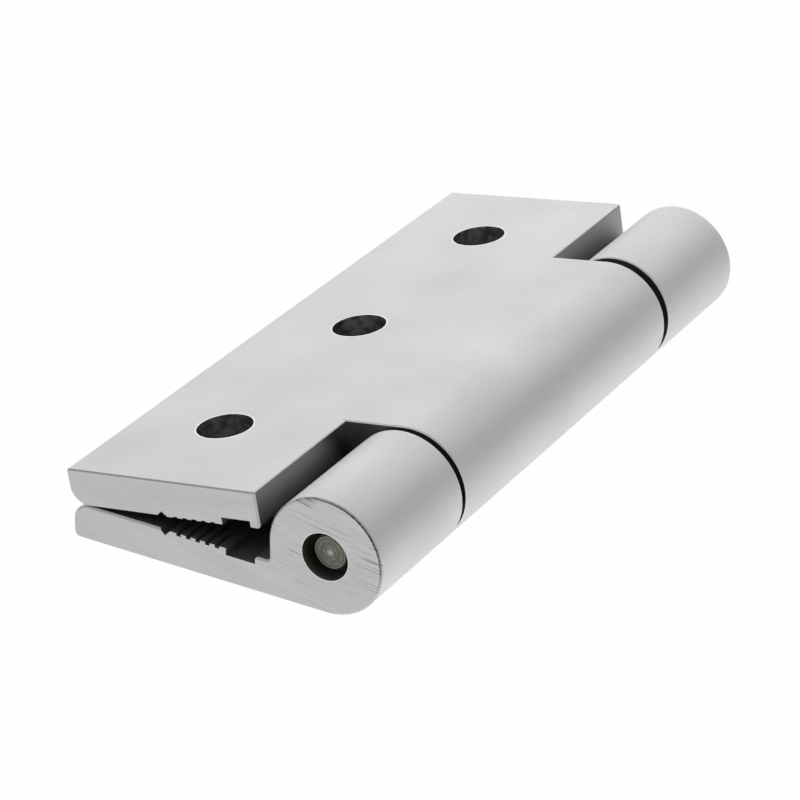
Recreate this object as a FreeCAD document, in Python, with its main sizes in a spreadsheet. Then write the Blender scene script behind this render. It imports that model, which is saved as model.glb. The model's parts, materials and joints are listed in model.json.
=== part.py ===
import FreeCAD, Part
import math
import os
import Sketcher

# Safety guard hinge: two sawn lengths of one aluminium extrusion, joined by a steel pin that runs
# in plastic bushes. Millimetres. The row's origin is the middle screw hole of the fixed leaf, on
# its outer face; +Z points from that face to the other leaf and +Y runs along the hinge axis.

DIMENSIONS = [
    # the extrusion's section, measured from the hinge axis
    ("barrel_diameter", 19.2),
    ("leaf_reach", 44.65),
    ("leaf_thickness", 6.0),
    ("root_round", 0.55),
    ("tip_inner_round", 3.0),
    ("fixed_tip_outer_round", 1.0),
    ("moving_tip_outer_round", 0.6),
    # the grooves of the inner face
    ("line_groove_place", 27.95),
    ("line_groove_half_width", 0.95),
    ("fixed_line_groove_depth", 0.95),
    ("moving_line_groove_depth", 0.8),
    ("serration_start", 25.9),
    ("serration_width", 0.8),
    ("serration_pitch", 1.7),
    ("serration_count", 5),
    ("fixed_serration_depth", 0.45),
    ("moving_serration_depth", 0.15),
    ("fixed_channel_start", 17.15),
    ("moving_channel_start", 16.95),
    ("channel_width", 5.1),
    ("fixed_channel_depth", 1.2),
    ("moving_channel_depth", 1.15),
    # the leaves along the hinge axis
    ("leaf_length", 118),
    ("fixed_slot_length", 70),
    ("centre_knuckle_length", 67),
    ("notch_wall", 10.2),
    ("notch_edge_round", 0.35),
    ("rib_round", 0.4),
    ("lip_round", 0.6),
    ("rim_break", 0.2),
    ("fixed_end_break", 0.3),
    ("moving_end_break", 0.2),
    ("notch_corner_break", 0.3),
    ("fixed_cut_skew", 1.0),
    ("moving_cut_stagger", 0.5),
    ("moving_end_shift", 0.3),
    ("closed_angle", 9.65),
    # the screw holes
    ("hole_line", 28.3),
    ("hole_diameter", 9),
    ("hole_pitch", 40),
    ("hole_count", 3),
    # the pin and its bushes
    ("pin_diameter", 6),
    ("pin_length", 115),
    ("pin_chamfer", 0.4),
    ("bush_outer_diameter", 7.8),
    ("bush_running_gap", 0.05),
    ("bush_setback", 3),
    ("bush_mouth_chamfer", 0.3),
    ("flange_diameter", 17),
    ("flange_thickness", 1),
]

# edges are picked by where they lie, to this distance and this cosine
EDGE_TOLERANCE = 0.03
ALONG_AXIS = 0.999
FULL_TURN = 360

doc = FreeCAD.newDocument("safety_guard_hinge")
sheet = doc.addObject("Spreadsheet::Sheet", "Sizes")
for row, (alias, value) in enumerate(DIMENSIONS, start=1):
    sheet.set(f"A{row}", alias)
    sheet.set(f"B{row}", str(value))
    sheet.setAlias(f"B{row}", alias)
doc.recompute()


def size(alias):
    """One driving dimension, in millimetres."""
    return float(getattr(sheet, alias))


def new_body(label):
    """An empty body whose origin lies on the hinge axis, at the middle of the fixed leaf."""
    body = doc.addObject("PartDesign::Body", label)
    body.Label = label
    return body


def place(body, along="0", pitch="0", roll="0"):
    """Puts a body on the hinge axis of the row's frame, turned about Y by pitch and about X by roll."""
    spot = f"create(<<vector>>; Sizes.hole_line; {along}; Sizes.barrel_diameter / 2)"
    turn = f"create(<<rotation>>; 0; {pitch}; {roll})"
    body.setExpression("Placement", f"create(<<placement>>; {spot}; {turn})")


def new_sketch(body, name, plane):
    """A sketch on one of the body's own origin planes."""
    sketch = body.newObject("Sketcher::SketchObject", name)
    origin_plane = next(f for f in body.Origin.OriginFeatures if f.Role == plane)
    sketch.AttachmentSupport = [(origin_plane, "")]
    sketch.MapMode = "FlatFace"
    return sketch


def outline(sketch, corners):
    """Draws a closed outline of straight lines and ties both coordinates of each corner to the sheet."""
    values = [[float(sketch.evalExpression(text)) for text in corner] for corner in corners]
    points = [FreeCAD.Vector(x, y, 0) for x, y in values]
    first = sketch.GeometryCount
    for start, end in zip(points, points[1:] + points[:1]):
        sketch.addGeometry(Part.LineSegment(start, end), False)
    for index, corner in enumerate(corners):
        line = first + index
        line_before = first + (index - 1) % len(corners)
        sketch.addConstraint(Sketcher.Constraint("Coincident", line_before, 2, line, 1))
        for direction, value, text in zip(("DistanceX", "DistanceY"), values[index], corner):
            number = sketch.addConstraint(Sketcher.Constraint(direction, -1, 1, line, 1, value))
            sketch.setExpression(f"Constraints[{number}]", text)


def round_outline(sketch, diameter):
    """Draws a circle round the sketch's origin."""
    value = float(sketch.evalExpression(diameter))
    circle = Part.Circle(FreeCAD.Vector(0, 0, 0), FreeCAD.Vector(0, 0, 1), value / 2)
    number = sketch.addGeometry(circle, False)
    sketch.addConstraint(Sketcher.Constraint("Coincident", number, 3, -1, 1))
    dimension = sketch.addConstraint(Sketcher.Constraint("Diameter", number, value))
    sketch.setExpression(f"Constraints[{dimension}]", diameter)


def cut_through(body, name, sketch):
    """A cut right through the body, to both sides of the sketch."""
    pocket = body.newObject("PartDesign::Pocket", name)
    pocket.Profile = sketch
    pocket.Type = "ThroughAll"
    pocket.SideType = "Symmetric"
    doc.recompute()
    return pocket


def linear_pattern(body, name, feature, axis, pitch, count):
    """Repeats a feature along one of the body's own axes."""
    pattern = body.newObject("PartDesign::LinearPattern", name)
    pattern.Originals = [feature]
    pattern.Direction = (next(f for f in body.Origin.OriginFeatures if f.Role == axis), [""])
    pattern.Mode = "Spacing"
    pattern.setExpression("Offset", pitch)
    pattern.setExpression("Occurrences", count)
    body.Tip = pattern
    doc.recompute()
    return pattern


def edges_at(feature, test):
    """Names of the edges that pass a test of the edge and its middle point."""
    names = []
    for number, edge in enumerate(feature.Shape.Edges, start=1):
        middle = edge.valueAt((edge.FirstParameter + edge.LastParameter) / 2)
        if test(edge, middle):
            names.append(f"Edge{number}")
    return names


def runs_along_axis(edge):
    """True for a straight edge parallel to the hinge axis."""
    return edge.Curve.TypeId == "Part::GeomLine" and abs(edge.Curve.Direction.y) > ALONG_AXIS


def same(value, target):
    """True where two lengths agree."""
    return abs(value - target) < EDGE_TOLERANCE


def round_edges(body, name, corner, radius):
    """Rounds the edges along the hinge axis that pass through one corner of the section."""
    x, z = corner
    base = body.Tip
    fillet = body.newObject("PartDesign::Fillet", name)
    edges = edges_at(base, lambda edge, at: runs_along_axis(edge) and same(at.x, x) and same(at.z, z))
    fillet.Base = (base, edges)
    fillet.setExpression("Radius", radius)
    doc.recompute()


def extrude_section(body, near_end, far_end):
    """The extrusion: a round barrel, and a leaf whose outer face leaves it at a tangent."""
    radius = size("barrel_diameter") / 2
    inner_face = radius - size("leaf_thickness")
    reach = size("leaf_reach")
    sketch = new_sketch(body, "section", "XZ_Plane")
    circle = Part.Circle(FreeCAD.Vector(0, 0, 0), FreeCAD.Vector(0, 0, 1), radius)
    barrel = sketch.addGeometry(Part.ArcOfCircle(circle, -math.pi / 2, math.pi), False)
    corners = [(-radius, 0), (-radius, -inner_face), (-reach, -inner_face), (-reach, -radius), (0, -radius)]
    points = [FreeCAD.Vector(x, y, 0) for x, y in corners]
    root, inner, tip, outer = (
        sketch.addGeometry(Part.LineSegment(start, end), False) for start, end in zip(points, points[1:])
    )
    for kind, *places in (
        ("Coincident", barrel, 3, -1, 1),
        ("Tangent", barrel, 2, root, 1),
        ("Vertical", root),
        ("Coincident", root, 2, inner, 1),
        ("Horizontal", inner),
        ("Coincident", inner, 2, tip, 1),
        ("Vertical", tip),
        ("Coincident", tip, 2, outer, 1),
        ("Horizontal", outer),
        ("Tangent", outer, 2, barrel, 1),
    ):
        sketch.addConstraint(Sketcher.Constraint(kind, *places))
    for kind, places, value, text in (
        ("Diameter", (barrel,), 2 * radius, "Sizes.barrel_diameter"),
        ("DistanceY", (tip, 2, tip, 1), radius - inner_face, "Sizes.leaf_thickness"),
        ("DistanceX", (tip, 1, -1, 1), reach, "Sizes.leaf_reach"),
    ):
        number = sketch.addConstraint(Sketcher.Constraint(kind, *places, value))
        sketch.setExpression(f"Constraints[{number}]", text)
    pad = body.newObject("PartDesign::Pad", "extrusion")
    pad.Profile = sketch
    pad.SideType = "Two sides"
    pad.setExpression("Length", near_end)
    pad.setExpression("Length2", far_end)
    doc.recompute()


def round_section(body, kind):
    """The die's rounded corners: the leaf's tip, and the root where the leaf meets the barrel."""
    outer_face = -size("barrel_diameter") / 2
    inner_face = outer_face + size("leaf_thickness")
    tip = -size("leaf_reach")
    round_edges(body, "root_round", (outer_face, inner_face), "Sizes.root_round")
    round_edges(body, "tip_inner_round", (tip, inner_face), "Sizes.tip_inner_round")
    round_edges(body, "tip_outer_round", (tip, outer_face), f"Sizes.{kind}_tip_outer_round")


def cut_grooves(body, kind):
    """The inner face's grooves: the V on the hole line, the serrations and the channel by the root."""
    face = "-(Sizes.barrel_diameter / 2 - Sizes.leaf_thickness)"
    above = "Sizes.barrel_diameter / 2"
    channel = new_sketch(body, "channel_outline", "XZ_Plane")
    channel_floor = f"{face} - Sizes.{kind}_channel_depth"
    outline(
        channel,
        [
            (f"-Sizes.{kind}_channel_start", channel_floor),
            (f"-Sizes.{kind}_channel_start + Sizes.channel_width", channel_floor),
            (f"-Sizes.{kind}_channel_start + Sizes.channel_width", above),
            (f"-Sizes.{kind}_channel_start", above),
        ],
    )
    cut_through(body, "channel", channel)
    line_groove = new_sketch(body, "line_groove_outline", "XZ_Plane")
    outline(
        line_groove,
        [
            ("-Sizes.line_groove_place", f"{face} - Sizes.{kind}_line_groove_depth"),
            ("-Sizes.line_groove_place + Sizes.line_groove_half_width", face),
            ("-Sizes.line_groove_place + Sizes.line_groove_half_width", above),
            ("-Sizes.line_groove_place - Sizes.line_groove_half_width", above),
            ("-Sizes.line_groove_place - Sizes.line_groove_half_width", face),
        ],
    )
    cut_through(body, "line_groove", line_groove)
    serration = new_sketch(body, "serration_outline", "XZ_Plane")
    serration_floor = f"{face} - Sizes.{kind}_serration_depth"
    outline(
        serration,
        [
            ("-Sizes.serration_start", serration_floor),
            ("-Sizes.serration_start + Sizes.serration_width", serration_floor),
            ("-Sizes.serration_start + Sizes.serration_width", above),
            ("-Sizes.serration_start", above),
        ],
    )
    first = cut_through(body, "serration", serration)
    linear_pattern(body, "serrations", first, "X_Axis", "Sizes.serration_pitch", "Sizes.serration_count")


def cut_knuckles(body, spans):
    """Cuts the barrel and the leaf's root away over each span of the hinge axis."""
    sketch = new_sketch(body, "knuckle_gaps", "XY_Plane")
    beyond = "Sizes.barrel_diameter"
    for start, end in spans:
        outline(
            sketch,
            [("-Sizes.notch_wall", start), (beyond, start), (beyond, end), ("-Sizes.notch_wall", end)],
        )
    cut_through(body, "knuckle_cut", sketch)


def soften_knuckles(body, kind, rim):
    """Rounds the rib and both edges along the cuts, and breaks the rims at +rim and -rim along Y."""
    outer_face = -size("barrel_diameter") / 2
    inner_face = outer_face + size("leaf_thickness")
    rib = -size(f"{kind}_channel_start") + size("channel_width")
    corners = edges_at(body.Tip, on_notch_corner)
    if corners:
        break_edges(body, "notch_corners", corners, "Sizes.notch_corner_break")
    round_edges(body, "rib_edge", (rib, inner_face), "Sizes.rib_round")
    round_edges(body, "lip_edge", (-size("notch_wall"), inner_face), "Sizes.lip_round")
    round_edges(body, "notch_edge", (-size("notch_wall"), outer_face), "Sizes.notch_edge_round")
    rims = edges_at(body.Tip, lambda edge, at: on_barrel_rim(edge, at) and same(abs(at.y), rim))
    break_edges(body, "knuckle_rims", rims, "Sizes.rim_break")


def skew_near_end(body, near_end):
    """Trims the near end to a saw cut that isn't quite square: it takes more off towards the barrel."""
    sketch = new_sketch(body, "skew_outline", "XY_Plane")
    past_barrel = "Sizes.barrel_diameter"
    trim = f"(Sizes.leaf_reach + {past_barrel}) * tan(Sizes.fixed_cut_skew)"
    outline(
        sketch,
        [
            ("-Sizes.leaf_reach", f"-({near_end})"),
            (past_barrel, f"-({near_end})"),
            (past_barrel, f"-({near_end}) + {trim}"),
        ],
    )
    cut_through(body, "skew_cut", sketch)


def break_edges(body, name, edges, width):
    """Takes the sharp edge off the named edges, and off those that run on from them smoothly."""
    base = body.Tip
    chamfer = body.newObject("PartDesign::Chamfer", name)
    chamfer.Base = (base, edges)
    chamfer.setExpression("Size", width)
    doc.recompute()


def on_notch_corner(edge, at):
    """True for the upright edge where a notch's wall meets a sawn end, outside the middle slot."""
    if edge.Curve.TypeId != "Part::GeomLine" or abs(edge.Curve.Direction.z) < ALONG_AXIS:
        return False
    slot_end = size("fixed_slot_length") / 2 + EDGE_TOLERANCE
    return same(at.x, -size("notch_wall")) and abs(at.y) > slot_end


def on_barrel_rim(edge, at):
    """True for the round edge of the barrel's end or of a knuckle's end."""
    return same(math.hypot(at.x, at.z), size("barrel_diameter") / 2) and not runs_along_axis(edge)


def bore_barrel(body, diameter):
    """The bore along the hinge axis."""
    sketch = new_sketch(body, "bore_outline", "XZ_Plane")
    round_outline(sketch, diameter)
    return cut_through(body, "bore", sketch)


def drill_leaf(body):
    """The row of plain screw holes on the leaf's centre groove."""
    sketch = new_sketch(body, "hole_centre", "XY_Plane")
    first_along = -size("hole_pitch") * (size("hole_count") - 1) / 2
    centre = FreeCAD.Vector(-size("hole_line"), first_along, 0)
    circle = Part.Circle(centre, FreeCAD.Vector(0, 0, 1), size("hole_diameter") / 2)
    number = sketch.addGeometry(circle, False)
    for kind, places, value, text in (
        ("DistanceX", (number, 3, -1, 1), -centre.x, "Sizes.hole_line"),
        ("DistanceY", (number, 3, -1, 1), -centre.y, "Sizes.hole_pitch * (Sizes.hole_count - 1) / 2"),
        ("Diameter", (number,), size("hole_diameter"), "Sizes.hole_diameter"),
    ):
        constraint = sketch.addConstraint(Sketcher.Constraint(kind, *places, value))
        sketch.setExpression(f"Constraints[{constraint}]", text)
    doc.recompute()
    hole = body.newObject("PartDesign::Hole", "screw_hole")
    hole.Profile = sketch
    hole.DepthType = "ThroughAll"
    hole.DrillPoint = "Flat"
    hole.setExpression("Diameter", "Sizes.hole_diameter")
    doc.recompute()
    linear_pattern(body, "screw_holes", hole, "Y_Axis", "Sizes.hole_pitch", "Sizes.hole_count")


def make_leaf(kind, near_end, far_end, gaps, rim, bore, skewed=False):
    """One leaf with its knuckles, lying to -X of the hinge axis with its outer face down."""
    body = new_body(f"{kind}_leaf")
    extrude_section(body, near_end, far_end)
    round_section(body, kind)
    if skewed:
        skew_near_end(body, near_end)
    cut_grooves(body, kind)
    break_edges(body, "sawn_ends", edges_at(body.Tip, on_barrel_rim), f"Sizes.{kind}_end_break")
    cut_knuckles(body, gaps)
    soften_knuckles(body, kind, rim)
    bore_barrel(body, bore)
    drill_leaf(body)
    return body


def make_bush(label):
    """A flanged bush: the sleeve is pressed into an end knuckle and the flange takes the thrust."""
    body = new_body(label)
    bore = "Sizes.pin_diameter / 2 + Sizes.bush_running_gap"
    sleeve = "Sizes.bush_outer_diameter / 2"
    face = "-Sizes.fixed_slot_length / 2"
    end = "-Sizes.leaf_length / 2 + Sizes.bush_setback"
    flange_face = f"{face} + Sizes.flange_thickness"
    sketch = new_sketch(body, "bush_section", "XY_Plane")
    outline(
        sketch,
        [
            (f"{bore} + Sizes.bush_mouth_chamfer", end),
            (sleeve, end),
            (sleeve, face),
            ("Sizes.flange_diameter / 2", face),
            ("Sizes.flange_diameter / 2", flange_face),
            (bore, flange_face),
            (bore, f"{end} + Sizes.bush_mouth_chamfer"),
        ],
    )
    turn(body, sketch)
    return body


def make_pin():
    """The pin, with both ends chamfered."""
    body = new_body("hinge_pin")
    sketch = new_sketch(body, "pin_section", "XY_Plane")
    radius = "Sizes.pin_diameter / 2"
    end = "Sizes.pin_length / 2"
    centre = "0"
    outline(
        sketch,
        [
            (centre, f"-{end}"),
            (f"{radius} - Sizes.pin_chamfer", f"-{end}"),
            (radius, f"-{end} + Sizes.pin_chamfer"),
            (radius, f"{end} - Sizes.pin_chamfer"),
            (f"{radius} - Sizes.pin_chamfer", end),
            (centre, end),
        ],
    )
    turn(body, sketch)
    return body


def turn(body, sketch):
    """Turns a half section about the hinge axis."""
    revolution = body.newObject("PartDesign::Revolution", "turned")
    revolution.Profile = sketch
    revolution.ReferenceAxis = (sketch, ["V_Axis"])
    revolution.Angle = FULL_TURN
    doc.recompute()


half_length = "Sizes.leaf_length / 2"
fixed_leaf = make_leaf(
    "fixed",
    f"{half_length} + Sizes.leaf_reach * tan(Sizes.fixed_cut_skew)",
    half_length,
    [("-Sizes.fixed_slot_length / 2", "Sizes.fixed_slot_length / 2")],
    size("fixed_slot_length") / 2,
    "Sizes.bush_outer_diameter",
    skewed=True,
)
place(fixed_leaf)

beyond_end = "Sizes.leaf_length"
moving_leaf = make_leaf(
    "moving",
    f"{half_length} - Sizes.moving_cut_stagger",
    f"{half_length} + Sizes.moving_cut_stagger",
    [
        (f"-{beyond_end}", "-Sizes.centre_knuckle_length / 2"),
        ("Sizes.centre_knuckle_length / 2", beyond_end),
    ],
    size("centre_knuckle_length") / 2,
    "Sizes.pin_diameter",
)
place(moving_leaf, along="-Sizes.moving_end_shift", pitch="-Sizes.closed_angle", roll="180")

hinge_pin = make_pin()
place(hinge_pin)
bush_near = make_bush("bush_near")
place(bush_near)
bush_far = make_bush("bush_far")
place(bush_far, roll="180")
doc.recompute()

pieces = [fixed_leaf, moving_leaf, hinge_pin, bush_near, bush_far]
failed = [o.Name for o in doc.Objects if {"Invalid", "Error"} & set(o.State)]
if failed:
    raise RuntimeError(f"failed features: {failed}")
for piece in pieces:
    if piece.Shape.isNull() or not piece.Shape.isValid() or len(piece.Shape.Solids) != 1:
        raise RuntimeError(f"{piece.Label} isn't one valid solid")

os.makedirs("parts", exist_ok=True)
for piece in pieces:
    piece.Shape.exportStep(f"parts/{piece.Label}.step")
    box = piece.Shape.BoundBox
    spans = ((box.XMin, box.XMax), (box.YMin, box.YMax), (box.ZMin, box.ZMax))
    reach = ", ".join(f"{low:.2f} to {high:.2f}" for low, high in spans)
    print(f"{piece.Label}: {piece.Shape.Volume:.1f} mm3, x y z {reach}")
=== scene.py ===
import json
import math
from types import SimpleNamespace

import bpy
from mathutils import Matrix, Vector


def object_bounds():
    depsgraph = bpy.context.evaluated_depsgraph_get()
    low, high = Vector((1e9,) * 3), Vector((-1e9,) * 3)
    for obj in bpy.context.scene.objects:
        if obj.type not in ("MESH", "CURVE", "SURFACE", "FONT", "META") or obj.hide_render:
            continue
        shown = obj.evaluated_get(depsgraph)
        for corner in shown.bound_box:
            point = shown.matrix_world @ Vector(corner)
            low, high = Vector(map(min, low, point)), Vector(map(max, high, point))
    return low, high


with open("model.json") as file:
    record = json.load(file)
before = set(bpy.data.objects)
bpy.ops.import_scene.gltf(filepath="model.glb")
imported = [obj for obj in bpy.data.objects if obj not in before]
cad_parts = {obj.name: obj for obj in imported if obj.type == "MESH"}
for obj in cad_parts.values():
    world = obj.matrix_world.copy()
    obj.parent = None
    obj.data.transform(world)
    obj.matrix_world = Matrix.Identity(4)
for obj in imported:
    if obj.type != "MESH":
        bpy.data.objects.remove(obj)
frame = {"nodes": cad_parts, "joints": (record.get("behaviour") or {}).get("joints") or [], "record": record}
cad_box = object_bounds()

# Sizes of the hinge in millimetres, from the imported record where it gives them. In a leaf's own frame
# the hinge axis is the Y axis, the leaf runs to -X and its outer face is down.
MM = 0.001
TO_MM = (1 / MM, 1 / MM, 1 / MM)
mounts = {mount["name"]: mount for mount in frame["record"]["mounts"]}
fixed_hole = mounts["fixed_hole_middle"]
next_hole = mounts["fixed_hole_far"]
moving_hole = mounts["moving_hole_middle"]
HINGE_AXIS = Vector(frame["joints"][0]["pos_m"]) / MM
CLOSED_ANGLE = math.asin(moving_hole["axis"][0])
MOVING_END_SHIFT = moving_hole["pos_m"][1] / MM
HOLE_LINE = fixed_hole["pos_m"][0] / MM - HINGE_AXIS.x
HOLE_PITCH = (next_hole["pos_m"][1] - fixed_hole["pos_m"][1]) / MM
HOLE_RADIUS = fixed_hole["dims"]["r_mm"]
BUSH_BORE_RADIUS = 3.9
PIN_RADIUS = 3.0
PIN_CHAMFER = 0.4
LOWEST_REACH = -37.0

# Places in a leaf's own frame: where its ends start along the hinge, where its notches and its inner
# face start across it, how low the grooves go, and a reach that is beyond all of it.
END_ZONE = cad_box[1][1] / MM - 2.0
NOTCH_WALL = -10.2
NOTCH_WALL_SPREAD = 0.25
INSIDE_TIP = -43.0
INSIDE_TIP_FADE = 5.0
INSIDE_LIP = -9.4
GROOVE_FLOOR = -4.95
FAR_OUT = 500.0

# How a face is turned: the share of its normal that points along the hinge, or across it for a wall.
CUT_ACROSS = 0.88
BROKEN_EDGE = 0.7
BROKEN_EDGE_SPREAD = 0.17
RUNS_LENGTHWISE = 0.5
WALL_UPRIGHT = 0.8

# Sizes of the marks on the surfaces, in millimetres.
WALL_MARGIN = 0.03
HOLE_MOUTH_WIDTH = 0.14
BORE_MOUTH_WIDTH = 0.09
DIE_LINE_SPACING = 0.5
DIE_LINE_LENGTH = 45.0
ETCH_GRAIN = 0.3
SKIN_CLOUD = 14.0
SAW_REACH = 178.0
SHORT_SCRATCH_SPACING = 0.2
SHORT_SCRATCH_LENGTH = 14.0
LONG_SCRATCH_SPACING = 0.36
LONG_SCRATCH_LENGTH = 45.0
SAW_BAND_WIDTH = 2.2
SAW_BAND_LENGTH = 16.0
SCRATCHED_PATCH = 5.0
SHADE_LINE_HALF_WIDTH = 0.12
SHADE_LINE_RAGGEDNESS = 0.3
OIL_BLOTCH = 1.6
SHADE_REACH = 20.0
LATHE_RING_SPACING = 0.28
LATHE_CHATTER = 0.4
PIN_GLINT_INSET = 0.06
PIN_GLINT_HALF_WIDTH = 0.07
ACETAL_GRAIN = 0.4

SKIN_ROUGHNESS = 0.68
SKIN_ROUGHNESS_SPREAD = 0.03
BARE_ROUGHNESS = 0.36

# The studio, in metres.
FLOOR_RADIUS = 8.0
FLOOR_WHITE_SHARE = 0.98
FIRST_BOUNCE = 1.5
SOFTBOX_WIDTH = 0.9
SOFTBOX_AIM = Vector((0.01, 0, 0.01))
STUDIO_LEVEL = 0.15

# Socket numbers of a colour Mix node.
FACTOR, COLOUR_A, COLOUR_B, MIXED = 0, 6, 7, 2


def linear(hex_colour):
    """An sRGB hex colour as the linear RGBA that shader sockets take."""
    channels = [int(hex_colour[i:i + 2], 16) / 255 for i in (1, 3, 5)]
    return [c / 12.92 if c <= 0.04045 else ((c + 0.055) / 1.055) ** 2.4 for c in channels] + [1.0]


def add_node(tree, kind, settings=None, links=None):
    """Adds a node to a tree.

    settings gives its attributes and the values of its inputs. links gives what feeds its inputs: a
    socket, or a node, which stands for its first output.
    """
    node = tree.nodes.new(kind)
    for name, value in (settings or {}).items():
        if isinstance(name, str) and hasattr(node, name):
            setattr(node, name, value)
        else:
            node.inputs[name].default_value = value
    for name, source in (links or {}).items():
        socket = source.outputs[0] if isinstance(source, bpy.types.Node) else source
        tree.links.new(socket, node.inputs[name])
    return node


def new_material(name):
    """A material with an empty node tree."""
    material = bpy.data.materials.new(name)
    material.use_nodes = True
    material.node_tree.nodes.clear()
    return material, material.node_tree


def leaf_spot(tree, home):
    """Where a point of a leaf lies and how it is turned, in the leaf's own frame, in millimetres."""
    coords = add_node(tree, "ShaderNodeTexCoord")
    turn = home.to_euler()
    place = add_node(
        tree, "ShaderNodeMapping",
        {"Location": home.translation, "Rotation": turn, "Scale": TO_MM},
        {"Vector": coords.outputs["Object"]},
    )
    facing = add_node(
        tree, "ShaderNodeMapping", {"vector_type": "NORMAL", "Rotation": turn},
        {"Vector": coords.outputs["Normal"]},
    )
    turned = add_node(tree, "ShaderNodeVectorMath", {"operation": "ABSOLUTE"}, {0: facing})
    section = add_node(tree, "ShaderNodeVectorMath", {"operation": "MULTIPLY", 1: (1, 0, 1)}, {0: place})
    axis_distance = add_node(tree, "ShaderNodeVectorMath", {"operation": "LENGTH"}, {0: section})
    at = add_node(tree, "ShaderNodeSeparateXYZ", {}, {"Vector": place})
    tilt = add_node(tree, "ShaderNodeSeparateXYZ", {}, {"Vector": turned})
    return SimpleNamespace(
        place=place,
        section=section,
        axis_distance=axis_distance.outputs["Value"],
        x=at.outputs["X"],
        y=at.outputs["Y"],
        z=at.outputs["Z"],
        tilt_x=tilt.outputs["X"],
        tilt_y=tilt.outputs["Y"],
    )


def cross_cuts(tree, spot):
    """Masks of what was cut across the hinge: sawn ends, knuckles' ends and the broken edges round them."""
    along = add_node(tree, "ShaderNodeMath", {"operation": "ABSOLUTE"}, {0: spot.y})
    by_end = add_node(tree, "ShaderNodeMath", {"operation": "GREATER_THAN", 1: END_ZONE}, {0: along})
    across = add_node(
        tree, "ShaderNodeMath", {"operation": "GREATER_THAN", 1: CUT_ACROSS}, {0: spot.tilt_y}
    )
    slanted = add_node(
        tree, "ShaderNodeMath", {"operation": "COMPARE", 1: BROKEN_EDGE, 2: BROKEN_EDGE_SPREAD},
        {0: spot.tilt_y},
    )
    sawn = add_node(tree, "ShaderNodeMath", {"operation": "MULTIPLY"}, {0: across, 1: by_end})
    end_edge = add_node(tree, "ShaderNodeMath", {"operation": "MULTIPLY"}, {0: slanted, 1: by_end})
    knuckle_end = add_node(
        tree, "ShaderNodeMath", {"operation": "SUBTRACT", "use_clamp": True}, {0: across, 1: sawn}
    )
    knuckle_rim = add_node(
        tree, "ShaderNodeMath", {"operation": "SUBTRACT", "use_clamp": True}, {0: slanted, 1: end_edge}
    )
    blade = add_node(tree, "ShaderNodeMath", {"operation": "MAXIMUM"}, {0: sawn, 1: end_edge})
    return SimpleNamespace(
        by_end=by_end, sawn=sawn, blade=blade, knuckle_end=knuckle_end, knuckle_rim=knuckle_rim
    )


def machined_places(tree, spot, cuts, bore_radius):
    """Masks of what the cutter and the drills left: notch walls, screw holes, the bore and their rims."""
    by_wall = add_node(
        tree, "ShaderNodeMath", {"operation": "COMPARE", 1: NOTCH_WALL, 2: NOTCH_WALL_SPREAD}, {0: spot.x}
    )
    upright = add_node(
        tree, "ShaderNodeMath", {"operation": "GREATER_THAN", 1: WALL_UPRIGHT}, {0: spot.tilt_x}
    )
    notch_wall = add_node(tree, "ShaderNodeMath", {"operation": "MULTIPLY"}, {0: by_wall, 1: upright})
    milled = add_node(
        tree, "ShaderNodeMath", {"operation": "MAXIMUM"}, {0: cuts.knuckle_end, 1: notch_wall}
    )

    # The row of holes is folded on its pitch, so that one distance serves them all.
    half_pitch = HOLE_PITCH / 2
    from_row = add_node(
        tree, "ShaderNodeVectorMath", {"operation": "SUBTRACT", 1: (HOLE_LINE, 0, 0)}, {0: spot.place}
    )
    from_hole = add_node(
        tree, "ShaderNodeVectorMath",
        {"operation": "WRAP", 1: (FAR_OUT, half_pitch, FAR_OUT), 2: (-FAR_OUT, -half_pitch, -FAR_OUT)},
        {0: from_row},
    )
    flat_hole = add_node(
        tree, "ShaderNodeVectorMath", {"operation": "MULTIPLY", 1: (1, 1, 0)}, {0: from_hole}
    )
    hole_length = add_node(tree, "ShaderNodeVectorMath", {"operation": "LENGTH"}, {0: flat_hole})
    hole_distance = hole_length.outputs["Value"]
    drilled = add_node(
        tree, "ShaderNodeMath", {"operation": "LESS_THAN", 1: HOLE_RADIUS + WALL_MARGIN}, {0: hole_distance}
    )
    bored = add_node(
        tree, "ShaderNodeMath", {"operation": "LESS_THAN", 1: bore_radius + WALL_MARGIN},
        {0: spot.axis_distance},
    )

    # Narrow bright rims where the drills and the cutter broke out.
    hole_mouth = add_node(
        tree, "ShaderNodeMath", {"operation": "COMPARE", 1: HOLE_RADIUS, 2: HOLE_MOUTH_WIDTH},
        {0: hole_distance},
    )
    bore_mouth = add_node(
        tree, "ShaderNodeMath", {"operation": "COMPARE", 1: bore_radius, 2: BORE_MOUTH_WIDTH},
        {0: spot.axis_distance},
    )
    mouth = add_node(tree, "ShaderNodeMath", {"operation": "MAXIMUM"}, {0: hole_mouth, 1: bore_mouth})
    rim = add_node(tree, "ShaderNodeMath", {"operation": "MAXIMUM"}, {0: mouth, 1: cuts.knuckle_rim})

    cut = add_node(tree, "ShaderNodeMath", {"operation": "MAXIMUM"}, {0: milled, 1: drilled})
    cut_or_bored = add_node(tree, "ShaderNodeMath", {"operation": "MAXIMUM"}, {0: cut, 1: bored})
    bare = add_node(tree, "ShaderNodeMath", {"operation": "MAXIMUM"}, {0: cut_or_bored, 1: hole_mouth})
    return SimpleNamespace(milled=milled, drilled=drilled, bored=bored, rim=rim, bare=bare)


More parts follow.
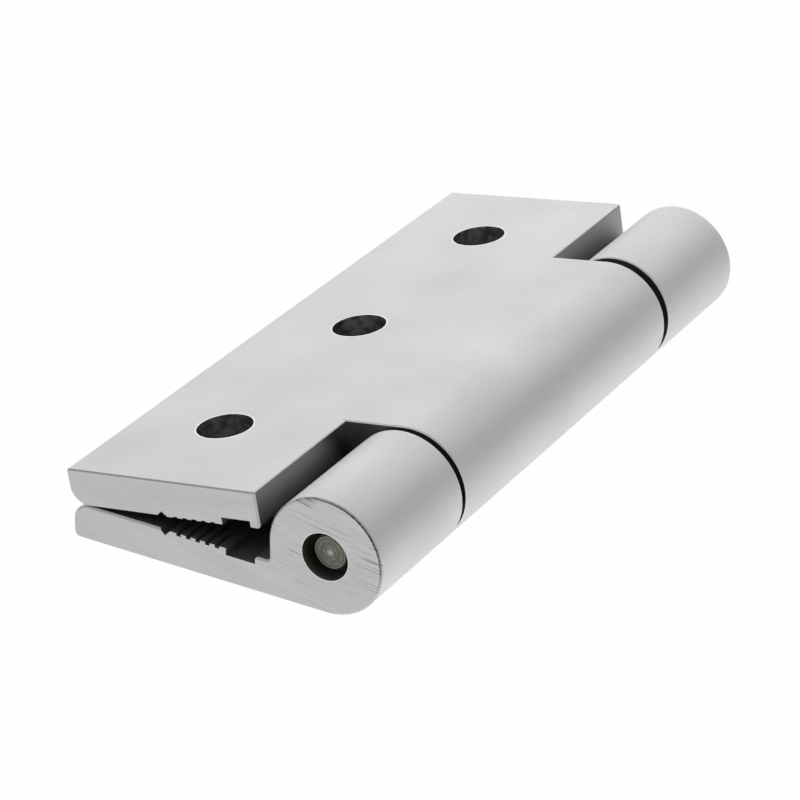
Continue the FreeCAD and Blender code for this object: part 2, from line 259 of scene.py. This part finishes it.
def painted_inside_shade(tree, spot):
    """Mask of painted shade on the grooved inner face, from the tip's round to the notch, where the other
    leaf covers it.

    Shade is painted on the face there, so the gap between closed leaves is dark. The mask goes by how
    much of the way out is shut off within 20 mm, so it fades as the hinge opens.
    """
    above_groove = add_node(
        tree, "ShaderNodeMath", {"operation": "GREATER_THAN", 1: GROOVE_FLOOR}, {0: spot.z}
    )
    from_tip = add_node(
        tree, "ShaderNodeMapRange", {"From Min": INSIDE_TIP, "From Max": INSIDE_TIP + INSIDE_TIP_FADE},
        {"Value": spot.x},
    )
    before_lip = add_node(tree, "ShaderNodeMath", {"operation": "LESS_THAN", 1: INSIDE_LIP}, {0: spot.x})
    over_leaf = add_node(tree, "ShaderNodeMath", {"operation": "MULTIPLY"}, {0: from_tip, 1: before_lip})
    within = add_node(tree, "ShaderNodeMath", {"operation": "MULTIPLY"}, {0: above_groove, 1: over_leaf})
    lengthwise = add_node(
        tree, "ShaderNodeMath", {"operation": "LESS_THAN", 1: RUNS_LENGTHWISE}, {0: spot.tilt_y}
    )
    inner_face = add_node(tree, "ShaderNodeMath", {"operation": "MULTIPLY"}, {0: within, 1: lengthwise})
    way_out = add_node(tree, "ShaderNodeAmbientOcclusion", {"samples": 16, "Distance": SHADE_REACH * MM})
    # The painted shade is darkest where the way out is most shut off.
    closed_shade = add_node(
        tree, "ShaderNodeMapRange", {"From Min": 0.85, "From Max": 0.5}, {"Value": way_out.outputs["AO"]}
    )
    return add_node(tree, "ShaderNodeMath", {"operation": "MULTIPLY"}, {0: inner_face, 1: closed_shade})


def etched_skin(tree, spot):
    """The etched skin: die lines that run the length of the extrusion, a fine grain and faint clouds.

    The real grain is a few hundredths of a millimetre; it is drawn ten times coarser so that it shows.
    """
    across_lines = 1 / DIE_LINE_SPACING
    die_scale = add_node(
        tree, "ShaderNodeVectorMath",
        {"operation": "MULTIPLY", 1: (across_lines, 1 / DIE_LINE_LENGTH, across_lines)}, {0: spot.place},
    )
    die_lines = add_node(
        tree, "ShaderNodeTexNoise", {"Scale": 1.0, "Detail": 3.0, "Roughness": 0.6}, {"Vector": die_scale}
    )
    grain = add_node(
        tree, "ShaderNodeTexNoise", {"Scale": 1 / ETCH_GRAIN, "Detail": 2.0, "Roughness": 0.7},
        {"Vector": spot.place},
    )
    cloud = add_node(
        tree, "ShaderNodeTexNoise", {"Scale": 1 / SKIN_CLOUD, "Detail": 2.0, "Roughness": 0.5},
        {"Vector": spot.place},
    )
    relief = add_node(
        tree, "ShaderNodeMath", {"operation": "MULTIPLY_ADD", 1: 0.3}, {0: die_lines, 2: grain}
    )
    texture = add_node(
        tree, "ShaderNodeMath", {"operation": "MULTIPLY_ADD", 1: 0.8}, {0: cloud, 2: relief}
    )
    pale = add_node(tree, "ShaderNodeMapRange", {"From Min": 0.7, "From Max": 1.4}, {"Value": texture})
    colour = add_node(
        tree, "ShaderNodeMix",
        {"data_type": "RGBA", COLOUR_A: linear("#e4e4e4"), COLOUR_B: linear("#ececec")}, {FACTOR: pale},
    )
    roughest = SKIN_ROUGHNESS + SKIN_ROUGHNESS_SPREAD
    smoothest = SKIN_ROUGHNESS - SKIN_ROUGHNESS_SPREAD
    roughness = add_node(
        tree, "ShaderNodeMapRange", {"To Min": roughest, "To Max": smoothest}, {"Value": pale}
    )
    return SimpleNamespace(colour=colour.outputs[MIXED], roughness=roughness, grain=grain, relief=relief)


def saw_marks(tree, spot, by_end, saw_centre, scratch_depth):
    """The sawn ends: the blade's arcs round the saw's own centre, over broad soft bands.

    Short dark scratches lie in patches on the barrel, most on its inner half, and a few long ones run
    over the whole end.
    """
    from_saw = add_node(
        tree, "ShaderNodeVectorMath", {"operation": "SUBTRACT", 1: (saw_centre[0], 0, saw_centre[1])},
        {0: spot.section},
    )
    saw_radius = add_node(tree, "ShaderNodeVectorMath", {"operation": "LENGTH"}, {0: from_saw})
    saw_spot = add_node(tree, "ShaderNodeSeparateXYZ", {}, {"Vector": from_saw})
    saw_angle = add_node(
        tree, "ShaderNodeMath", {"operation": "ARCTAN2"},
        {0: saw_spot.outputs["X"], 1: saw_spot.outputs["Z"]},
    )
    arc = add_node(
        tree, "ShaderNodeCombineXYZ", {}, {"X": saw_radius.outputs["Value"], "Y": saw_angle, "Z": by_end}
    )

    short_scale = add_node(
        tree, "ShaderNodeVectorMath",
        {"operation": "MULTIPLY", 1: (1 / SHORT_SCRATCH_SPACING, SAW_REACH / SHORT_SCRATCH_LENGTH, 1)},
        {0: arc},
    )
    short_noise = add_node(
        tree, "ShaderNodeTexNoise", {"Scale": 1.0, "Detail": 0.5}, {"Vector": short_scale}
    )
    short_scratch = add_node(
        tree, "ShaderNodeMapRange", {"From Min": 0.61, "From Max": 0.68}, {"Value": short_noise}
    )
    on_barrel = add_node(
        tree, "ShaderNodeMapRange", {"From Min": 16.0, "From Max": 11.0}, {"Value": spot.axis_distance}
    )
    patch_noise = add_node(
        tree, "ShaderNodeTexNoise", {"Scale": 1 / SCRATCHED_PATCH, "Detail": 0.0}, {"Vector": spot.section}
    )
    patch = add_node(
        tree, "ShaderNodeMapRange", {"From Min": 0.4, "From Max": 0.55}, {"Value": patch_noise}
    )
    inner_half = add_node(
        tree, "ShaderNodeMapRange", {"From Min": -7.0, "From Max": -2.0}, {"Value": spot.z}
    )
    patch_share = add_node(tree, "ShaderNodeMath", {"operation": "MULTIPLY"}, {0: patch, 1: inner_half})
    patched_scratch = add_node(
        tree, "ShaderNodeMath", {"operation": "MULTIPLY"}, {0: short_scratch, 1: patch_share}
    )
    barrel_scratch = add_node(
        tree, "ShaderNodeMath", {"operation": "MULTIPLY"}, {0: patched_scratch, 1: on_barrel}
    )

    long_scale = add_node(
        tree, "ShaderNodeVectorMath",
        {"operation": "MULTIPLY", 1: (1 / LONG_SCRATCH_SPACING, SAW_REACH / LONG_SCRATCH_LENGTH, 3)},
        {0: arc},
    )
    long_noise = add_node(
        tree, "ShaderNodeTexNoise", {"Scale": 1.0, "Detail": 1.0}, {"Vector": long_scale}
    )
    long_scratch = add_node(
        tree, "ShaderNodeMapRange", {"From Min": 0.66, "From Max": 0.76, "To Max": 0.75},
        {"Value": long_noise},
    )
    both_scratches = add_node(
        tree, "ShaderNodeMath", {"operation": "MAXIMUM"}, {0: barrel_scratch, 1: long_scratch}
    )
    scratch = add_node(
        tree, "ShaderNodeMath", {"operation": "MULTIPLY", 1: scratch_depth}, {0: both_scratches}
    )

    band_scale = add_node(
        tree, "ShaderNodeVectorMath",
        {"operation": "MULTIPLY", 1: (1 / SAW_BAND_WIDTH, SAW_REACH / SAW_BAND_LENGTH, 1)}, {0: arc},
    )
    band_noise = add_node(
        tree, "ShaderNodeTexNoise", {"Scale": 1.0, "Detail": 3.0, "Roughness": 0.6}, {"Vector": band_scale}
    )
    band = add_node(
        tree, "ShaderNodeMapRange", {"From Min": 0.3, "From Max": 0.7, "To Max": 0.4}, {"Value": band_noise}
    )
    band_colour = add_node(
        tree, "ShaderNodeMix",
        {"data_type": "RGBA", COLOUR_A: linear("#d4d6d5"), COLOUR_B: linear("#e6e8e7")}, {FACTOR: band},
    )
    colour = add_node(
        tree, "ShaderNodeMix", {"data_type": "RGBA", COLOUR_B: linear("#7c7f7d")},
        {FACTOR: scratch, COLOUR_A: band_colour.outputs[MIXED]},
    )
    return SimpleNamespace(colour=colour.outputs[MIXED], relief=short_noise)


def painted_end_line(tree, spot, blade, grain, shade_line_side, shade_line_reach):
    """Mask of a ragged dark line painted on an end's broken edge as painted shade, most of it on one side.

    Round the barrel the line's reach is its distance from the hinge axis, and over the leaf its level.
    """
    outwards = add_node(
        tree, "ShaderNodeVectorMath", {"operation": "MAXIMUM", 1: (0, 0, -FAR_OUT)}, {0: spot.section}
    )
    out_distance = add_node(tree, "ShaderNodeVectorMath", {"operation": "LENGTH"}, {0: outwards})
    out_way = add_node(tree, "ShaderNodeVectorMath", {"operation": "NORMALIZE"}, {0: outwards})
    burr_turn = add_node(
        tree, "ShaderNodeVectorMath", {"operation": "DOT_PRODUCT", 1: shade_line_side}, {0: out_way}
    )
    share = add_node(
        tree, "ShaderNodeMapRange", {"From Min": 0.3, "From Max": 0.95},
        {"Value": burr_turn.outputs["Value"]},
    )
    # The grain breaks up the painted shade line.
    breaks = add_node(
        tree, "ShaderNodeMapRange", {"From Min": 0.3, "From Max": 0.55, "To Min": 0.5, "To Max": 1.0},
        {"Value": grain},
    )
    spread = add_node(tree, "ShaderNodeMath", {"operation": "MULTIPLY"}, {0: share, 1: breaks})
    ragged = add_node(
        tree, "ShaderNodeMath", {"operation": "MULTIPLY_ADD", 1: SHADE_LINE_RAGGEDNESS},
        {0: grain, 2: out_distance.outputs["Value"]},
    )
    line = add_node(
        tree, "ShaderNodeMath", {"operation": "COMPARE", 1: shade_line_reach, 2: SHADE_LINE_HALF_WIDTH}, {0: ragged}
    )
    on_edge = add_node(tree, "ShaderNodeMath", {"operation": "MULTIPLY"}, {0: blade, 1: line})
    return add_node(tree, "ShaderNodeMath", {"operation": "MULTIPLY"}, {0: on_edge, 1: spread})


def oily_walls(tree, spot):
    """The drilled walls' colour, where cutting oil has dried in blotches of 1 or 2 mm."""
    blotch_noise = add_node(
        tree, "ShaderNodeTexNoise", {"Scale": 1 / OIL_BLOTCH, "Detail": 2.0}, {"Vector": spot.place}
    )
    blotch = add_node(
        tree, "ShaderNodeMapRange", {"From Min": 0.35, "From Max": 0.6}, {"Value": blotch_noise}
    )
    colour = add_node(
        tree, "ShaderNodeMix",
        {"data_type": "RGBA", COLOUR_A: linear("#8e8d8b"), COLOUR_B: linear("#dad9d7")}, {FACTOR: blotch},
    )
    return colour.outputs[MIXED]


def anodised_extrusion(
    name, home, bore_radius, saw_centre, scratch_depth, shade_line_side, shade_line_reach, shade_line_colour
):
    """Satin anodised aluminium extrusion, with bare metal where it was sawn, milled, drilled and bored.

    The etched and anodised skin is a pale, even grey with a broad soft sheen, faint die lines along
    the hinge and a fine grain. Sawn ends are a little darker and carry the blade's long arcs, and bare
    cut metal is smoother than the skin. home carries the row's frame in metres to the leaf's own frame
    in millimetres.
    """
    material, tree = new_material(name)
    spot = leaf_spot(tree, home)
    cuts = cross_cuts(tree, spot)
    machined = machined_places(tree, spot, cuts, bore_radius)
    skin = etched_skin(tree, spot)
    saw = saw_marks(tree, spot, cuts.by_end, saw_centre, scratch_depth)
    end_line_shade = painted_end_line(tree, spot, cuts.blade, skin.grain, shade_line_side, shade_line_reach)

    # One finish is laid over the next.
    finishes = [
        # Painted shade on the inner faces, where the closed leaves lie over each other.
        (painted_inside_shade(tree, spot), "#8c8c8c"),
        (cuts.blade, saw.colour),
        # Painted shade along one side of each end's broken edge.
        (end_line_shade, shade_line_colour),
        (machined.rim, "#f6f6f8"),
        # Milled faces are bare metal, smoother than the skin. Their dark grey is painted shade of the
        # notches and knuckle gaps they sit in.
        (machined.milled, "#969696"),
        (machined.drilled, oily_walls(tree, spot)),
        (machined.bored, "#d9d7cf"),
    ]
    colour = skin.colour
    for mask, finish in finishes:
        settings = {"data_type": "RGBA"}
        links = {FACTOR: mask, COLOUR_A: colour}
        if isinstance(finish, str):
            settings[COLOUR_B] = linear(finish)
        else:
            links[COLOUR_B] = finish
        colour = add_node(tree, "ShaderNodeMix", settings, links).outputs[MIXED]

    roughness = add_node(
        tree, "ShaderNodeMapRange", {"To Max": BARE_ROUGHNESS},
        {"Value": machined.bare, "To Min": skin.roughness},
    )
    relief = add_node(
        tree, "ShaderNodeMix", {"data_type": "FLOAT"}, {0: cuts.sawn, 2: skin.relief, 3: saw.relief}
    )
    bump = add_node(
        tree, "ShaderNodeBump", {"Strength": 0.12, "Distance": 0.05 * MM}, {"Height": relief}
    )
    shader = add_node(
        tree, "ShaderNodeBsdfPrincipled", {"Metallic": 1.0},
        {"Base Color": colour, "Roughness": roughness, "Normal": bump},
    )
    add_node(tree, "ShaderNodeOutputMaterial", {}, {"Surface": shader})
    return material


def turned_steel():
    """Turned steel bar: ragged rings from the lathe tool on its faced ends, with a painted highlight at the
    centre.

    Painted shade darkens the face towards its edge, and a thin pale line runs round it inside the chamfer as
    a painted highlight.
    """
    material, tree = new_material("turned_steel")
    coords = add_node(tree, "ShaderNodeTexCoord")
    place = add_node(
        tree, "ShaderNodeMapping", {"Location": -HINGE_AXIS, "Scale": TO_MM},
        {"Vector": coords.outputs["Object"]},
    )
    section = add_node(tree, "ShaderNodeVectorMath", {"operation": "MULTIPLY", 1: (1, 0, 1)}, {0: place})
    axis_distance = add_node(tree, "ShaderNodeVectorMath", {"operation": "LENGTH"}, {0: section})
    radius = axis_distance.outputs["Value"]
    chatter = add_node(
        tree, "ShaderNodeTexNoise", {"Scale": 1 / LATHE_CHATTER, "Detail": 4.0, "Roughness": 0.8},
        {"Vector": place},
    )
    ring_radius = add_node(
        tree, "ShaderNodeMath", {"operation": "MULTIPLY_ADD", 1: 0.9}, {0: chatter, 2: radius}
    )
    ring_at = add_node(tree, "ShaderNodeCombineXYZ", {}, {"X": ring_radius})
    rings = add_node(
        tree, "ShaderNodeTexNoise", {"Scale": 1 / LATHE_RING_SPACING, "Detail": 2.0, "Roughness": 0.6},
        {"Vector": ring_at},
    )
    rings_and_chatter = add_node(
        tree, "ShaderNodeMath", {"operation": "MULTIPLY_ADD", 1: 0.5}, {0: chatter, 2: rings}
    )
    ring = add_node(
        tree, "ShaderNodeMapRange", {"From Min": 0.55, "From Max": 0.98}, {"Value": rings_and_chatter}
    )
    ring_colour = add_node(
        tree, "ShaderNodeMix",
        {"data_type": "RGBA", COLOUR_A: linear("#403f3a"), COLOUR_B: linear("#929187")}, {FACTOR: ring},
    )
    face_radius = PIN_RADIUS - PIN_CHAMFER
    # Painted shade: the recessed face darkens towards its edge.
    painted_rim_shade = add_node(
        tree, "ShaderNodeMapRange", {"From Min": 1.3, "From Max": face_radius, "To Max": 0.45},
        {"Value": radius},
    )
    face_colour = add_node(
        tree, "ShaderNodeMix", {"data_type": "RGBA", COLOUR_B: linear("#3a3935")},
        {FACTOR: painted_rim_shade, COLOUR_A: ring_colour.outputs[MIXED]},
    )
    # Painted highlights: a bright spot at the centre and a thin pale line just inside the chamfer.
    centre_glint = add_node(
        tree, "ShaderNodeMapRange", {"From Min": 1.1, "From Max": 0.5, "To Max": 0.6},
        {"Value": ring_radius},
    )
    rim_glint = add_node(
        tree, "ShaderNodeMath",
        {"operation": "COMPARE", 1: face_radius - PIN_GLINT_INSET, 2: PIN_GLINT_HALF_WIDTH}, {0: radius},
    )
    bright = add_node(
        tree, "ShaderNodeMath", {"operation": "MULTIPLY_ADD", 1: 0.3}, {0: rim_glint, 2: centre_glint}
    )
    colour = add_node(
        tree, "ShaderNodeMix", {"data_type": "RGBA", COLOUR_B: linear("#d2d1c8")},
        {FACTOR: bright, COLOUR_A: face_colour.outputs[MIXED]},
    )
    bump = add_node(
        tree, "ShaderNodeBump", {"Strength": 0.35, "Distance": 0.03 * MM}, {"Height": rings}
    )
    shader = add_node(
        tree, "ShaderNodeBsdfPrincipled", {"Metallic": 1.0, "Roughness": 0.42},
        {"Base Color": colour.outputs[MIXED], "Normal": bump},
    )
    add_node(tree, "ShaderNodeOutputMaterial", {}, {"Surface": shader})
    return material


def black_acetal():
    """Black acetal, moulded: dark and matt, with a faint sheen and a fine grain."""
    material, tree = new_material("black_acetal")
    coords = add_node(tree, "ShaderNodeTexCoord")
    grain = add_node(
        tree, "ShaderNodeTexNoise", {"Scale": 1 / (ACETAL_GRAIN * MM), "Detail": 2.0},
        {"Vector": coords.outputs["Object"]},
    )
    colour = add_node(
        tree, "ShaderNodeMix",
        {"data_type": "RGBA", COLOUR_A: linear("#0b0b0b"), COLOUR_B: linear("#171716")}, {FACTOR: grain},
    )
    roughness = add_node(tree, "ShaderNodeMapRange", {"To Min": 0.45, "To Max": 0.6}, {"Value": grain})
    shader = add_node(
        tree, "ShaderNodeBsdfPrincipled", {"IOR": 1.48},
        {"Base Color": colour.outputs[MIXED], "Roughness": roughness},
    )
    add_node(tree, "ShaderNodeOutputMaterial", {}, {"Surface": shader})
    return material


def dress(node, material):
    """Gives a CAD node its finish."""
    slots = frame["nodes"][node].data.materials
    slots.clear()
    slots.append(material)


def pale_floor():
    """A white floor as low as the moving leaf swings, so that it stays clear of every pose.

    The camera and the metal's first reflection see it as white, with a trace of the shadow on it.
    """
    material, tree = new_material("white_floor")
    path = add_node(tree, "ShaderNodeLightPath")
    first_bounce = add_node(
        tree, "ShaderNodeMath", {"operation": "LESS_THAN", 1: FIRST_BOUNCE}, {0: path.outputs["Ray Depth"]}
    )
    mirrored = add_node(
        tree, "ShaderNodeMath", {"operation": "MULTIPLY"},
        {0: path.outputs["Is Glossy Ray"], 1: first_bounce},
    )
    seen = add_node(
        tree, "ShaderNodeMath", {"operation": "MAXIMUM"}, {0: path.outputs["Is Camera Ray"], 1: mirrored}
    )
    shown = add_node(
        tree, "ShaderNodeMath", {"operation": "MAXIMUM"},
        {0: seen, 1: path.outputs["Is Transmission Ray"]},
    )
    share = add_node(tree, "ShaderNodeMath", {"operation": "MULTIPLY", 1: FLOOR_WHITE_SHARE}, {0: shown})
    matt = add_node(tree, "ShaderNodeBsdfDiffuse", {"Color": linear("#f6f6f6")})
    white = add_node(tree, "ShaderNodeEmission", {"Color": linear("#ffffff"), "Strength": 1.0})
    surface = add_node(tree, "ShaderNodeMixShader", {}, {0: share, 1: matt, 2: white})
    add_node(tree, "ShaderNodeOutputMaterial", {}, {"Surface": surface})
    bpy.ops.object.select_all(action="DESELECT")
    bpy.ops.mesh.primitive_circle_add(
        vertices=96, radius=FLOOR_RADIUS, fill_type="NGON", location=(0, 0, LOWEST_REACH * MM)
    )
    floor = bpy.context.object
    floor.name = "floor"
    floor.data.materials.append(material)


def softbox(name, place, power):
    """A square softbox aimed at the hinge and hidden from the camera, with its power in watts."""
    light = bpy.data.lights.new(name, "AREA")
    light.size = SOFTBOX_WIDTH
    light.energy = power
    lamp = bpy.data.objects.new(name, light)
    bpy.context.scene.collection.objects.link(lamp)
    lamp.location = place
    lamp.rotation_euler = (SOFTBOX_AIM - lamp.location).to_track_quat("-Z", "Y").to_euler()
    lamp.visible_camera = False


# Both leaves are one extrusion, and each was cut off by its own stroke of the saw. The moving leaf is
# turned over about the hinge and shifted a little along it.
moving_place = Matrix.Translation(HINGE_AXIS + Vector((0, MOVING_END_SHIFT, 0)))
moving_turn = Matrix.Rotation(-CLOSED_ANGLE, 4, "Y") @ Matrix.Rotation(math.pi, 4, "X")
fixed_finish = anodised_extrusion(
    "anodised_fixed_leaf",
    home=Matrix.Translation(HINGE_AXIS).inverted(),
    bore_radius=BUSH_BORE_RADIUS,
    saw_centre=(29.4, 175.4),
    scratch_depth=0.65,
    shade_line_side=(0.71, 0, 0.71),
    shade_line_reach=9.46,
    shade_line_colour="#4a4b4e",
)
moving_finish = anodised_extrusion(
    "anodised_moving_leaf",
    home=(moving_place @ moving_turn).inverted(),
    bore_radius=PIN_RADIUS,
    saw_centre=(-20.7, -184.0),
    scratch_depth=0.15,
    shade_line_side=(0, 0, -1),
    shade_line_reach=9.6,
    shade_line_colour="#bcbcbd",
)
bush_finish = black_acetal()
dress("fixed_leaf", fixed_finish)
dress("moving_leaf", moving_finish)
dress("hinge_pin", turned_steel())
dress("bush_near", bush_finish)
dress("bush_far", bush_finish)

# Soft light from behind and from the left, with less from the front right, on white.
pale_floor()
softbox("back_left", (-0.7, 0.8, 0.6), 3.9)
softbox("back", (0.1, 1.2, 0.6), 5.45)
softbox("left", (-1.1, 0.0, 0.6), 1.0)
softbox("front_left", (-0.5, -0.65, 1.05), 3.0)
softbox("front_right", (0.5, -0.65, 1.05), 0.8)

studio = bpy.data.worlds.new("studio")
studio.use_nodes = True
background = studio.node_tree.nodes["Background"]
background.inputs["Color"].default_value = linear("#ffffff")
background.inputs["Strength"].default_value = STUDIO_LEVEL
bpy.context.scene.world = studio
bpy.context.scene.view_settings.view_transform = "Standard"

# The camera, from the photograph's vanishing lines and the places of the holes, ends and knuckles.
lens = bpy.data.cameras.new("camera")
lens.sensor_width = 36.0
lens.lens = 144.97
lens.clip_start = 0.01
camera = bpy.data.objects.new("camera", lens)
bpy.context.scene.collection.objects.link(camera)
right = Vector((0.86227619, 0.50640011, 0.00622115))
down = Vector((0.24385726, -0.40440065, -0.88147249))
camera_turn = Matrix((right, -down, right.cross(-down))).transposed()
camera_place = Vector((240.801, -402.174, 251.842)) * MM
camera.matrix_world = Matrix.Translation(camera_place) @ camera_turn.to_4x4()
bpy.context.scene.camera = camera
